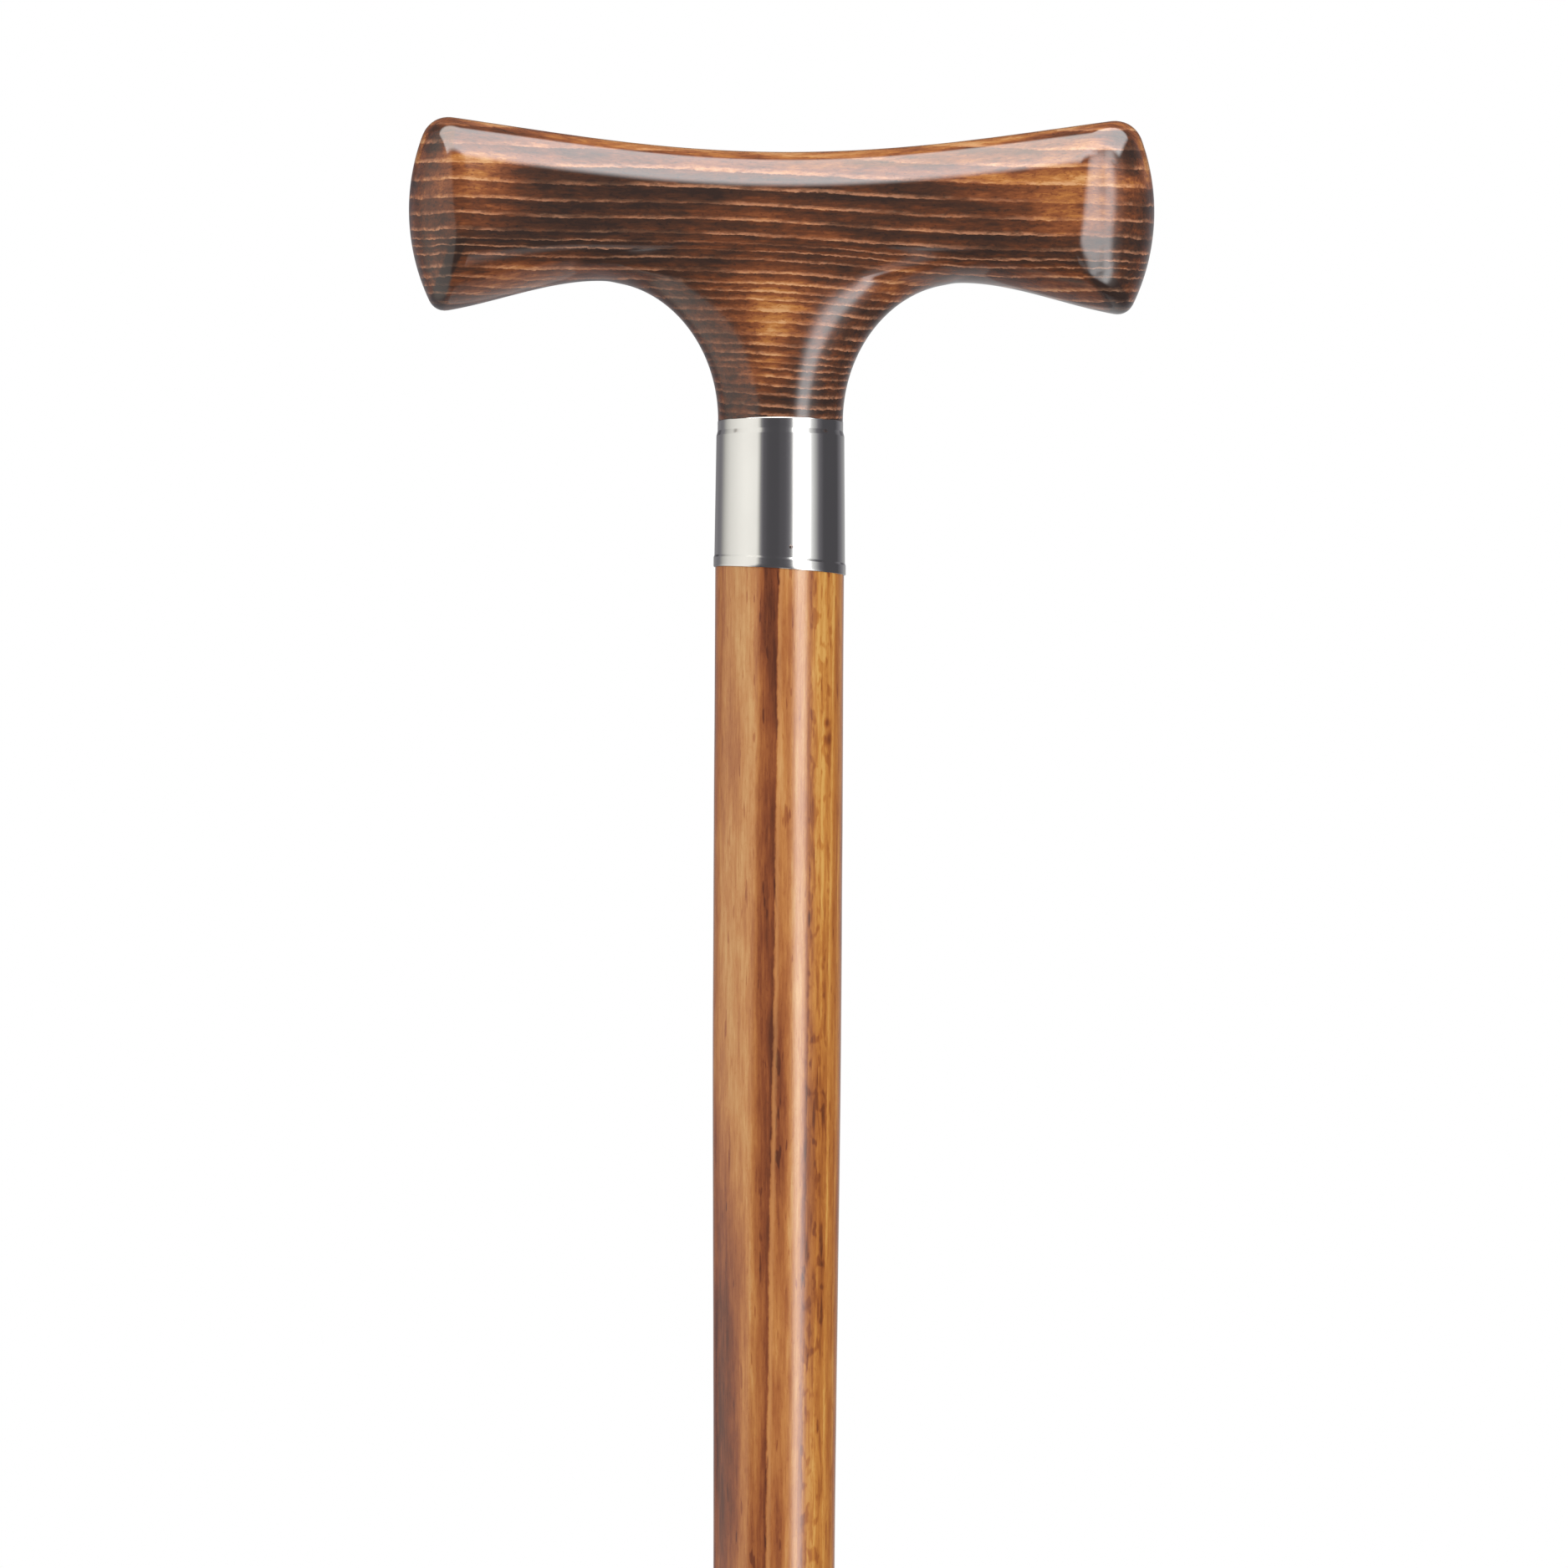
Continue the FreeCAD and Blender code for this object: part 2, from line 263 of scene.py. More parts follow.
def body(points):
    """Arms and neck without the domed ends: flat to the front inside the outline, round towards it."""
    x, y, z = points.T
    share = np.clip(np.abs(x) / HALF_SPAN, 0, 1.05)
    top = SADDLE + CREST_GAIN * share ** 2 * (3 - share ** 2) / 2
    under = UNDERSIDE - HEEL_DROP * smooth_step((np.abs(x) - ARCH_REACH) / (HALF_SPAN - ARCH_REACH))
    above = z >= SIDE
    arm = ((z - SIDE) / np.where(above, top - SIDE, SIDE - under)) ** 2
    neck = (x / neck_half_width(z)) ** 2
    inner = np.clip((1 - np.minimum(arm, neck)) / 0.5, 0, 1)
    width = 1e-3 + SHOULDER_BLEND * smooth_step((SIDE - z) / 7) * inner
    near = np.maximum(width - np.abs(arm - neck), 0) / width
    outline = np.where(above, arm, np.minimum(arm, neck) - near * near * width / 4)
    slimmer = (WAIST_DEPTH - NECK_RADIUS) * (1 - smooth_step(z / SIDE)) * (1 - smooth_step(np.abs(x) / 40))
    depth = WAIST_DEPTH + FLARE_DEPTH * share ** 3 - slimmer
    roundness = np.where(above, TOP_ROUNDNESS + END_BOXINESS * np.minimum(share, 1) ** 3, UNDER_ROUNDNESS)
    across = np.maximum(np.abs(y / depth), 1e-9) ** roundness
    around = np.sign(outline) * np.maximum(np.abs(outline), 1e-9) ** (roundness / 2)
    return np.maximum(across + around, 1e-9) ** (1 / roundness) - 1


def dome_radius(x):
    return np.where(x > 0, RIGHT_DOME_PLAN, DOME_PLAN)


def dome(points):
    """Domed end: a circle seen from above and a flatter circle seen from the front."""
    x, y, z = points.T
    plan = dome_radius(x)
    back = np.maximum(np.abs(x) - (HALF_SPAN - plan), 0)
    side = plan + back
    rise = 2 * DOME_PROFILE - plan + back
    skin = y ** 2 * rise + (z - DOME_HEIGHT) ** 2 * side - (plan - back) * side * rise
    return skin / 1000


def handle_field(points):
    """Below zero inside the handle."""
    middle = as_distance(body, points)
    end = as_distance(dome, points)
    front = np.clip(np.abs(points[:, 1]) / WAIST_DEPTH, 0, 1) ** 2
    right = smooth_step((points[:, 0] + 20) / 40) * smooth_step((points[:, 2] - 16) / 12)
    width = LEFT_RIDGE + (RIGHT_RIDGE - LEFT_RIDGE) * right * (0.25 + 0.75 * front)
    high = smooth_step((points[:, 2] - 38) / 9) * (1 - front)
    width = width + (TOP_RIDGE - width) * high
    back = np.abs(points[:, 0]) - (HALF_SPAN - dome_radius(points[:, 0]))
    width = 0.3 + (width - 0.3) * smooth_step((back - 1.2) / 7)
    beyond = back > 0
    return np.where(beyond, soft_most(middle, end, width), middle)


def net_over(field, low, high, step):
    """Quads close to the place where a field is zero, one point in each cell that it crosses."""
    axes = [np.arange(a, b + step, step) for a, b in zip(low, high)]
    grid = np.stack(np.meshgrid(*axes, indexing="ij"), -1)
    values = field(grid.reshape(-1, 3)).reshape(grid.shape[:3])
    inside = values < 0
    cells = tuple(n - 1 for n in inside.shape)
    corner = lambda block, i, j, k: block[i:i + cells[0], j:j + cells[1], k:k + cells[2]]
    count = np.zeros(cells)
    total = np.zeros(cells + (3,))
    for axis, step_to in enumerate(np.eye(3, dtype=int)):
        for here in itertools.product((0, 1), repeat=3):
            if here[axis]:
                continue
            a, b = corner(values, *here), corner(values, *(step_to + here))
            crossed = (a < 0) != (b < 0)
            share = np.where(crossed, a / np.where(crossed, a - b, 1), 0)
            place = corner(grid, *here) + share[..., None] * step_to * step
            total += np.where(crossed[..., None], place, 0)
            count += crossed
    active = count > 0
    number = -np.ones(cells, int)
    number[active] = np.arange(active.sum())
    points = total[active] / count[active][:, None]
    faces = []
    for axis in range(3):
        one, two = (axis + 1) % 3, (axis + 2) % 3
        length = inside.shape[axis] - 1
        start = [slice(1, -1)] * 3
        start[axis] = slice(0, length)
        after = list(start)
        after[axis] = slice(1, length + 1)
        near, far = inside[tuple(start)], inside[tuple(after)]
        places = np.argwhere(near != far)
        flip = near[near != far]
        square = []
        for shift_one, shift_two in ((0, 0), (1, 0), (1, 1), (0, 1)):
            cell = places.copy()
            cell[:, one] += shift_one
            cell[:, two] += shift_two
            square.append(number[tuple(cell.T)])
        square = np.stack(square, -1)
        square[~flip] = square[~flip][:, ::-1]
        faces.append(square)
    return points, np.concatenate(faces)


def settle(points, faces, field, rounds):
    """Evens out a net and lays its points exactly on the skin."""
    edges = np.concatenate([faces[:, [side, (side + 1) % 4]] for side in range(4)])
    edges = np.concatenate([edges, edges[:, ::-1]])
    for _ in range(rounds):
        middle = np.zeros_like(points)
        np.add.at(middle, edges[:, 0], points[edges[:, 1]])
        count = np.bincount(edges[:, 0], minlength=len(points))
        points = points * 0.5 + middle / count[:, None] * 0.5
        for _ in range(2):
            direction = slope(field, points)
            steep = np.sum(direction ** 2, axis=-1)
            points = points - direction * (field(points) / steep)[:, None]
    return points


def field_normals(points):
    """Outward normals of the handle's skin."""
    direction = slope(handle_field, points)
    return direction / np.linalg.norm(direction, axis=-1)[:, None]


def make_handle():
    """Handle as one skin over arms and neck, cut level at the collar, with its tenon below."""
    low = (-HALF_SPAN - 1.5, -DOME_PLAN, -3 * SKIN_STEP)
    high = (HALF_SPAN + 1.5, DOME_PLAN, SADDLE + CREST_GAIN + 1.5)
    points, faces = net_over(handle_field, low, high, SKIN_STEP)
    points = settle(points, faces, handle_field, 5)
    piece = make_piece("handle_wood_turned", points, faces, None)
    mesh = bmesh.new()
    mesh.from_mesh(piece.data)
    every = mesh.verts[:] + mesh.edges[:] + mesh.faces[:]
    cut = bmesh.ops.bisect_plane(mesh, geom=every, dist=1e-4, plane_co=(0, 0, 0), plane_no=(0, 0, -1),
                                 clear_outer=True)
    rim = [edge for edge in cut["geom_cut"] if isinstance(edge, bmesh.types.BMEdge)]
    skin_count = len(mesh.faces)
    bmesh.ops.edgenet_fill(mesh, edges=rim)
    low_end = TENON_END - RIM
    outline = [(0.05, low_end, 0), (TENON_RADIUS, low_end, 0.3), (TENON_RADIUS, 0.02, 0), (0.05, 0.02, 0)]
    tenon_points, tenon_faces = turned_mesh(rounded(outline), 96)
    tenon = [mesh.verts.new(point) for point in tenon_points]
    for face in tenon_faces:
        mesh.faces.new([tenon[index] for index in face])
    mesh.faces.ensure_lookup_table()
    for index, face in enumerate(mesh.faces):
        face.smooth = index < skin_count
    mesh.to_mesh(piece.data)
    mesh.free()
    data = piece.data
    places = np.array([vertex.co for vertex in data.vertices])
    ways = field_normals(places)
    loops = np.zeros((len(data.loops), 3))
    for polygon in data.polygons:
        if polygon.use_smooth:
            for loop in polygon.loop_indices:
                loops[loop] = ways[data.loops[loop].vertex_index]
    data.transform(Matrix.Translation((0, 0, RIM * MM)) @ Matrix.Scale(MM, 4))
    data.normals_split_custom_set([tuple(way) for way in loops])
    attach(piece, "cane")
    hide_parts("handle")
    return piece


# Turned pieces

def metres(outline, base=0.0):
    """Outline of (radius, height) in millimetres over a base height, in metres."""
    return [(radius * MM, (base + height) * MM) for radius, height in outline]


def make_turned(name, outline, segments, node_name, body, closed=False, wave=None, crease=30):
    """Turned piece that stands for one CAD node."""
    points, faces = turned_mesh(outline, segments, wave, closed)
    piece = make_piece(name, points, faces, body, [node_name])
    return crisp(piece, crease)


def hand_sanding(radius, angles, heights):
    """Shallow waves that sanding by hand leaves in a lacquered shaft."""
    long = np.sin(heights * 95 + 2.1 * np.sin(angles * 2 + heights * 31)) * 0.010
    short = np.sin(heights * 260 + angles * 3 + 1.7 * np.sin(heights * 70)) * 0.004
    return (long + short) * MM


def spun_dents(radius, angles, heights):
    """Slight unevenness of thin spun metal."""
    along = np.sin(heights * 420 + np.sin(angles * 3) * 1.3) * 0.0035
    return (along + np.sin(angles * 5 + heights * 150) * 0.002) * MM


def shaft_radius(height):
    """Long gentle taper of the shaft, parallel below the collar."""
    for (low, start, start_slope), (high, end, end_slope) in zip(TAPER, TAPER[1:]):
        if height <= high:
            break
    run = high - low
    t = min(max((height - low) / run, 0), 1)
    return (start * (1 + 2 * t) * (1 - t) ** 2 + start_slope * run * t * (1 - t) ** 2
            + end * t * t * (3 - 2 * t) + end_slope * run * t * t * (t - 1))


def slant_edge(piece, top, least_radius=0.0):
    """Files the lower end of the collar and the shoulder under it out of square, lower on the right."""
    for vertex in piece.data.vertices:
        x, y, z = (part / MM for part in vertex.co)
        if math.hypot(x, y) > least_radius:
            rise = SLANT_AT_LEFT - SLANT * (x + FOOT_RADIUS)
            vertex.co.z += rise * MM * top(z)


def make_shaft():
    """Long taper with its tip in the ferrule and its tenon in the collar."""
    tip_radius, shoulder_radius = TAPER[0][1], TAPER[-1][1]
    below = rounded([(0.05, TIP_HEIGHT, 0), (tip_radius, TIP_HEIGHT, 0.5), (tip_radius, 20, 0)])
    taper = [(shaft_radius(height), float(height)) for height in np.arange(22, 846.5, 2.2)]
    above = rounded([
        (shoulder_radius, 846.6, 0), (shoulder_radius, SHOULDER_HEIGHT, 0.05),
        (TENON_RADIUS, SHOULDER_HEIGHT, 0), (TENON_RADIUS, TENON_END, 0.3), (0.05, TENON_END, 0),
    ])
    outline = metres(below + taper + above)
    shaft = make_turned("shaft_wood_turned", outline, 144, "shaft", "cane", wave=hand_sanding)
    slant_edge(shaft, lambda z: min(max((z - 838) / SLANT_BLEND, 0), 1), 9.6)
    return shaft


def make_collar():
    """Sleeve with a stepped lip and a bead."""
    foot = -COLLAR_HEIGHT
    corners = [
        (BORE_RADIUS, foot + 0.05, 0), (BORE_RADIUS + 0.2, foot, 0.05), (10.38, foot, 0), (10.40, foot, 0),
        (FOOT_RADIUS, foot, 0.2), (FOOT_RADIUS, -22.95, 0.2), (10.52, -22.6, 0.2),
        (COLLAR_RADIUS, -2.5, 0.3), (LIP_RADIUS, -1.7, 0.3), (LIP_RADIUS, 0, 0.22),
        (BORE_RADIUS + 0.15, 0, 0.05), (BORE_RADIUS, -0.1, 0),
    ]
    outline = long_rows(metres(rounded(corners), RIM), 0.5 * MM)
    collar = make_turned("collar_metal_sleeve", outline, 192, "collar", "cane",
                         True, spun_dents, 60)
    slant_edge(collar, lambda z: min(max((RIM - 14 - z) / SLANT_BLEND, 0), 1))
    return collar


def make_brad():
    """Small domed head of the brad, seated in its hole in the collar."""
    crown = [(0.02, 0.10), (0.14, 0.092), (0.23, 0.07), (0.29, 0.02), (0.31, -0.05), (0.31, -0.2)]
    shank = [(0.25, -0.22), (0.25, -4.3), (0.08, -4.6), (0.02, -4.6)]
    points, faces = turned_mesh(metres(list(reversed(crown + shank))), 32)
    azimuth = math.radians(BRAD_AZIMUTH)
    outward = Vector((math.cos(azimuth), math.sin(azimuth), 0))
    place = Matrix.Translation(outward * BRAD_SEAT * MM + Vector((0, 0, (RIM - BRAD_DROP) * MM)))
    place = place @ outward.to_track_quat("Z", "Y").to_matrix().to_4x4()
    points = [place @ Vector(point) for point in points]
    return crisp(make_piece("collar_brad_pin", points, faces, "cane", ["collar_brad"]), 40)


def make_ferrule():
    """Flared rubber foot with grip rings, a socket for the tip and grooves in its sole."""
    tread = [(0.05, 0, 0)]
    for start in GROOVES:
        tread += [(start, 0, 0.25), (start + 0.15, TREAD_DEPTH, 0.2),
                  (start + 1.35, TREAD_DEPTH, 0.2), (start + 1.5, 0, 0.25)]
    flare = [
        (SOLE_RADIUS, 0, 1.5), (SOLE_RADIUS, 6.5, 1.5),
        (15.3, 8.6, 2.5), (13.1, 12.4, 5.0), (12.25, 17.0, 2.0),
    ]
    grip = [
        (11.86, 28.8, 0.3), (12.2, 29.6, 0.45), (11.82, 30.4, 0.3),
        (11.7, 33.4, 0.3), (12.05, 34.2, 0.45), (11.66, 35.0, 0.3),
        (11.55, 38.7, 0.4), (12.25, 39.5, 0.4), (12.25, FERRULE_HEIGHT, 0.6),
    ]
    socket = [
        (8.75, FERRULE_HEIGHT, 0.25), (SOCKET_RADIUS, FERRULE_HEIGHT - 0.8, 0.3),
        (SOCKET_RADIUS, SOCKET_FLOOR, 0.2), (0.05, SOCKET_FLOOR, 0),
    ]
    outline = long_rows(metres(rounded(tread + flare + grip + socket, 5)), 2.0 * MM)
    return make_turned("ferrule_rubber_tip", outline, 128, "ferrule", "tip", True, None, 38)


# Finishes

def join(tree, value, socket):
    """Links a socket to another one or sets its value."""
    if isinstance(value, bpy.types.NodeSocket):
        tree.links.new(value, socket)
    else:
        socket.default_value = value


def node(tree, kind, inputs=None, **settings):
    """A shader node with its settings and inputs."""
    made = tree.nodes.new("ShaderNode" + kind)
    for name, value in settings.items():
        setattr(made, name, value)
    for name, value in (inputs or {}).items():
        join(tree, value, made.inputs[name])
    return made


def calc(tree, operation, first, second=0.0, third=0.0, clamp=False):
    return node(tree, "Math", {0: first, 1: second, 2: third}, operation=operation, use_clamp=clamp).outputs[0]


def times(tree, first, second):
    return calc(tree, "MULTIPLY", first, second)


def vector_calc(tree, operation, first, second=(0.0, 0.0, 0.0)):
    made = node(tree, "VectorMath", {0: first, 1: second}, operation=operation)
    return made.outputs["Value" if operation in ("LENGTH", "DISTANCE") else "Vector"]


def spread(tree, value, low, high, new_low=0.0, new_high=1.0, smooth=True):
    """Maps a range of a value to another range, with soft ends."""
    limits = {"From Min": low, "From Max": high, "To Min": new_low, "To Max": new_high}
    kind = "SMOOTHSTEP" if smooth else "LINEAR"
    return node(tree, "MapRange", {"Value": value, **limits}, interpolation_type=kind).outputs["Result"]


def fall(tree, value, low, high):
    """1 below a range of a value and 0 above it."""
    return spread(tree, value, low, high, 1.0, 0.0)


def soft_band(tree, value, low, high, soft_low, soft_high):
    """1 between two limits of a value, with soft ends."""
    rise = spread(tree, value, low - soft_low, low + soft_low)
    return times(tree, rise, fall(tree, value, high - soft_high, high + soft_high))


def mixed(tree, share, first, second, how="MIX"):
    """Mixes two colours."""
    return node(tree, "Mix", {0: share, 6: first, 7: second}, data_type="RGBA", blend_type=how).outputs[2]


def colour(red, green, blue):
    return (red, green, blue, 1.0)


def ramp(tree, share, stops):
    """Colour that follows a value through (position, colour) stops."""
    made = tree.nodes.new("ShaderNodeValToRGB")
    points = made.color_ramp.elements
    while len(points) < len(stops):
        points.new(0.5)
    for point, (position, tint) in zip(points, stops):
        point.position = position
        point.color = tint
    join(tree, share, made.inputs["Fac"])
    return made.outputs["Color"]


def noise(tree, point, stretch, detail=2.0, roughness=0.5):
    """Noise over millimetre coordinates; stretch is how often it changes per millimetre along each axis."""
    scaled = vector_calc(tree, "MULTIPLY", point, stretch)
    made = node(tree, "TexNoise", {"Vector": scaled, "Scale": 1.0, "Detail": detail, "Roughness": roughness})
    return made.outputs["Fac"]


def swing(tree, value, reach):
    """Noise from 0 to 1 as a shift from -reach/2 to reach/2."""
    return times(tree, calc(tree, "SUBTRACT", value, 0.5), reach)


def add_noise(tree, value, point, stretch, reach, detail=2.0, roughness=0.5):
    """Shifts a value by noise, from -reach/2 to reach/2."""
    return calc(tree, "ADD", value, swing(tree, noise(tree, point, stretch, detail, roughness), reach))


def new_group(name, inputs, outputs):
    """Shader node group with named sockets. Returns the tree, its inputs and its output sockets."""
    group = bpy.data.node_groups.new(name, "ShaderNodeTree")
    for label, kind in inputs.items():
        group.interface.new_socket(label, in_out="INPUT", socket_type="NodeSocket" + kind)
    for label in outputs:
        group.interface.new_socket(label, in_out="OUTPUT", socket_type="NodeSocketFloat")
    return group, group.nodes.new("NodeGroupInput").outputs, group.nodes.new("NodeGroupOutput").inputs


def place_group(tree, group, inputs):
    """Places a node group with its own values."""
    return node(tree, "Group", inputs, node_tree=group).outputs


def growth_ring_group():
    """One growth ring after another: a light line, then wood that darkens up to the next one."""
    sockets = {"Rings": "Float", "Line Width": "Float", "Dark Start": "Float"}
    group, given, out = new_group("growth_rings", sockets, ["Light Line", "Dark Wood"])
    part = calc(group, "FRACT", given["Rings"])
    line = calc(group, "MAXIMUM", fall(group, part, 0.0, given["Line Width"]), spread(group, part, 0.94, 1.0))
    join(group, line, out["Light Line"])
    dark = spread(group, part, given["Dark Start"], calc(group, "ADD", given["Dark Start"], 0.25))
    join(group, calc(group, "SUBTRACT", dark, line, clamp=True), out["Dark Wood"])
    return group


def soft_spot_group():
    """Soft oval patch round a centre."""
    sockets = {"Point": "Vector", "Centre": "Vector", "Reach": "Vector"}
    group, given, out = new_group("soft_spot", sockets, ["Mask"])
    away = vector_calc(group, "SUBTRACT", given["Point"], given["Centre"])
    distance = vector_calc(group, "LENGTH", vector_calc(group, "DIVIDE", away, given["Reach"]))
    join(group, fall(group, distance, 0.0, 1.0), out["Mask"])
    return group


def fibre_group():
    """Fibres, pores and ray flecks of beech, for a point whose X axis runs along the grain."""
    group, given, out = new_group("beech_fibres", {"Point": "Vector"}, ["Fibres", "Flecks", "Height"])
    point = given["Point"]
    fine = noise(group, point, (0.5, 5.0, 5.0), 3.0, 0.65)
    coarse = noise(group, point, (0.16, 2.2, 2.2), 3.0, 0.6)
    fibres = times(group, calc(group, "ADD", fine, coarse), 0.5)
    fibres = spread(group, fibres, 0.3, 0.7, smooth=False)
    join(group, fibres, out["Fibres"])
    flecks = spread(group, noise(group, point, (1.3, 2.6, 2.6), 1.0, 0.4), 0.62, 0.70)
    join(group, flecks, out["Flecks"])
    join(group, calc(group, "SUBTRACT", fibres, times(group, flecks, 0.5)), out["Height"])
    return group


def surface_wear_group():
    """Fine scratches and handling smudges on a smooth surface."""
    sockets = {"Point": "Vector", "Scratch Stretch": "Vector"}
    group, given, out = new_group("surface_wear", sockets, ["Scratches", "Smudges"])
    join(group, noise(group, given["Point"], given["Scratch Stretch"], 3.0, 0.7), out["Scratches"])
    smudges = noise(group, given["Point"], (0.09, 0.09, 0.06), 4.0, 0.6)
    join(group, spread(group, smudges, 0.35, 0.75), out["Smudges"])
    return group


def fresh_tree(owner):
    """Empty node tree of a material or of the world."""
    owner.use_nodes = True
    owner.node_tree.nodes.clear()
    return owner.node_tree


def put_out(tree, shader, kind="Material"):
    """Makes a shader the surface of a material or of the world."""
    output = node(tree, "Output" + kind)
    tree.links.new(shader.outputs[0], output.inputs["Surface"])


def new_material(name):
    """Material with its tree, its shader and the surface point in millimetres from the collar's rim."""
    material = bpy.data.materials.new(name)
    tree = fresh_tree(material)
    shader = node(tree, "BsdfPrincipled")
    put_out(tree, shader)
    scaled = vector_calc(tree, "MULTIPLY", object_point(tree), (1000.0, 1000.0, 1000.0))
    point = vector_calc(tree, "SUBTRACT", scaled, (0.0, 0.0, RIM))
    return material, tree, shader, point


def object_point(tree):
    return node(tree, "TexCoord").outputs["Object"]


def set_bump(tree, shader, height, strength, distance):
    bump = node(tree, "Bump", {"Height": height, "Strength": strength, "Distance": distance})
    tree.links.new(bump.outputs["Normal"], shader.inputs["Normal"])


def set_lacquer(shader, roughness):
    """Clear gloss lacquer; the wood under it has no shine of its own."""
    shader.inputs["Specular IOR Level"].default_value = 0.0
    shader.inputs["Coat Weight"].default_value = 1.0
    shader.inputs["Coat Roughness"].default_value = roughness
    shader.inputs["Coat IOR"].default_value = 1.5


def parts_of(tree, point):
    made = node(tree, "SeparateXYZ", {"Vector": point})
    return made.outputs["X"], made.outputs["Y"], made.outputs["Z"]


# Heights at which the growth rings cross the handle's middle, and the count of rings up to them
RING_HEIGHTS = [
    0.1, 1.5, 3.3, 4.7, 6.0, 7.2, 8.2, 9.4, 10.9, 12.5, 14.5, 16.2, 17.9, 19.2, 20.5, 22.1,
    24.1, 25.4, 26.5, 27.9, 30.3, 32.9, 35.6, 38.5, 41.5, 44.6, 47.8,
]
RING_COUNTS = [(-10.0, 0.0), *((height, 8.0 + index) for index, height in enumerate(RING_HEIGHTS)), (56.0, 38.0)]


def follow(tree, value, line):
    """Reads a level off a line drawn through (place, level) points."""
    made = tree.nodes.new("ShaderNodeFloatCurve")
    curve = made.mapping.curves[0]
    low, span = line[0][0], line[-1][0] - line[0][0]
    least = min(level for place, level in line)
    most = max(level for place, level in line) - least
    shares = [((place - low) / span, (level - least) / most) for place, level in line]
    curve.points[0].location = shares[0]
    curve.points[1].location = shares[-1]
    for place in shares[1:-1]:
        curve.points.new(*place)
    for spot in curve.points:
        spot.handle_type = "VECTOR"
    made.mapping.update()
    join(tree, calc(tree, "DIVIDE", calc(tree, "SUBTRACT", value, low), span), made.inputs["Value"])
    return calc(tree, "MULTIPLY_ADD", made.outputs["Value"], most, least)


def with_waves(tree, value, point, waves):
    """Adds noise waves of (stretch, reach, detail) to a value."""
    for wave in waves:
        value = add_noise(tree, value, point, *wave)
    return value


def from_heart(tree, point, keep, heart):
    """Distance from the heart of the tree, whose line runs along the axis that keep leaves out."""
    flat = vector_calc(tree, "MULTIPLY", point, keep)
    return vector_calc(tree, "DISTANCE", flat, heart)


def add_spots(tree, value, point, spot, spots):
    """Adds soft patches of (centre, reach, gain) to a value."""
    for centre, reach, gain in spots:
        mask = place_group(tree, spot, {"Point": point, "Centre": centre, "Reach": reach})["Mask"]
        value = calc(tree, "MULTIPLY_ADD", mask, gain, value)
    return value


HANDLE_WAVES = [
    ((0.022, 0.03, 0.05), 1.3, 1.0),
    ((0.10, 0.25, 0.3), 0.7, 2.0),
    ((0.55, 0.8, 0.8), 0.45, 2.0),
    ((2.0, 2.2, 2.2), 0.22, 1.0),
]

SCORCH = [
    (0.00, colour(0.60, 0.32, 0.130)),
    (0.18, colour(0.44, 0.170, 0.048)),
    (0.38, colour(0.25, 0.079, 0.030)),
    (0.58, colour(0.130, 0.043, 0.020)),
    (0.78, colour(0.066, 0.029, 0.018)),
    (1.00, colour(0.034, 0.020, 0.016)),
]

# Soft patches of (centre, reach, gain) on the scorch depth. The lighter patches low on the arms, near a height
# of 20, paint the pale reflection of the floor into the wood.
HANDLE_SPOTS = [
    ((-0.5, -11.0, 19.0), (12.5, 16.0, 9.0), -0.37),
    ((-1.8, -11.0, 10.5), (7.0, 15.0, 11.0), -0.36),
    ((0.0, -11.0, 31.0), (26.0, 14.0, 9.0), -0.12),
    ((-33.0, -13.0, 30.0), (24.0, 16.0, 9.5), 0.16),
    ((-48.5, -12.0, 36.0), (12.5, 16.0, 10.0), -0.52),
    ((-56.0, -8.0, 32.0), (7.0, 14.0, 14.0), -0.20),
    ((-38.0, -10.0, 20.0), (27.0, 16.0, 7.5), -0.43),
    ((42.0, -12.0, 34.0), (25.0, 16.0, 9.5), -0.18),
    ((47.0, -12.0, 33.0), (11.0, 14.0, 9.0), -0.24),
    ((54.5, -8.0, 42.5), (5.0, 12.0, 7.0), 0.50),
    ((-55.5, -9.0, 43.0), (2.6, 10.0, 6.5), 0.40),
    ((54.4, -8.0, 17.0), (3.6, 12.0, 4.0), 0.45),
    ((-4.0, -12.0, 35.6), (34.0, 14.0, 3.6), 0.26),
    ((36.0, -12.0, 26.5), (18.0, 14.0, 4.5), 0.12),
    ((19.0, -9.0, 22.0), (13.0, 12.0, 5.5), -0.34),
    ((40.0, -10.0, 20.0), (21.0, 14.0, 5.5), -0.26),
]


# Side, start, lean in degrees, half width and length of the painted dark line along each lower ridge, a painted
# reflection of the dark gap between the softboxes
PAINTED_RIDGE_SHADES = [
    (-1.0, (50.9, 27.0), 26.0, 1.4, 10.0),
    (1.0, (49.6, 23.4), 45.0, 2.0, 8.5),
]


def painted_ridge_shade(tree, point, side, start, lean, width, length):
    """Mask of a painted dark line along the lower ridge of one domed end: painted shade in place of the dark gap
    between the softboxes that the ridge reflects.
    """
    x, y, z = parts_of(tree, point)
    sine, cosine = math.sin(math.radians(lean)), math.cos(math.radians(lean))
    out = calc(tree, "MULTIPLY_ADD", x, side, -start[0])
    down = calc(tree, "SUBTRACT", start[1], z)
    across = calc(tree, "SUBTRACT", times(tree, out, cosine), times(tree, down, sine))
    along = calc(tree, "ADD", times(tree, out, sine), times(tree, down, cosine))
    near = fall(tree, calc(tree, "ABSOLUTE", across), 0.3, width)
    reach = times(tree, spread(tree, along, -1.5, 1.5), fall(tree, along, length, length + 3.0))
    return times(tree, near, reach)


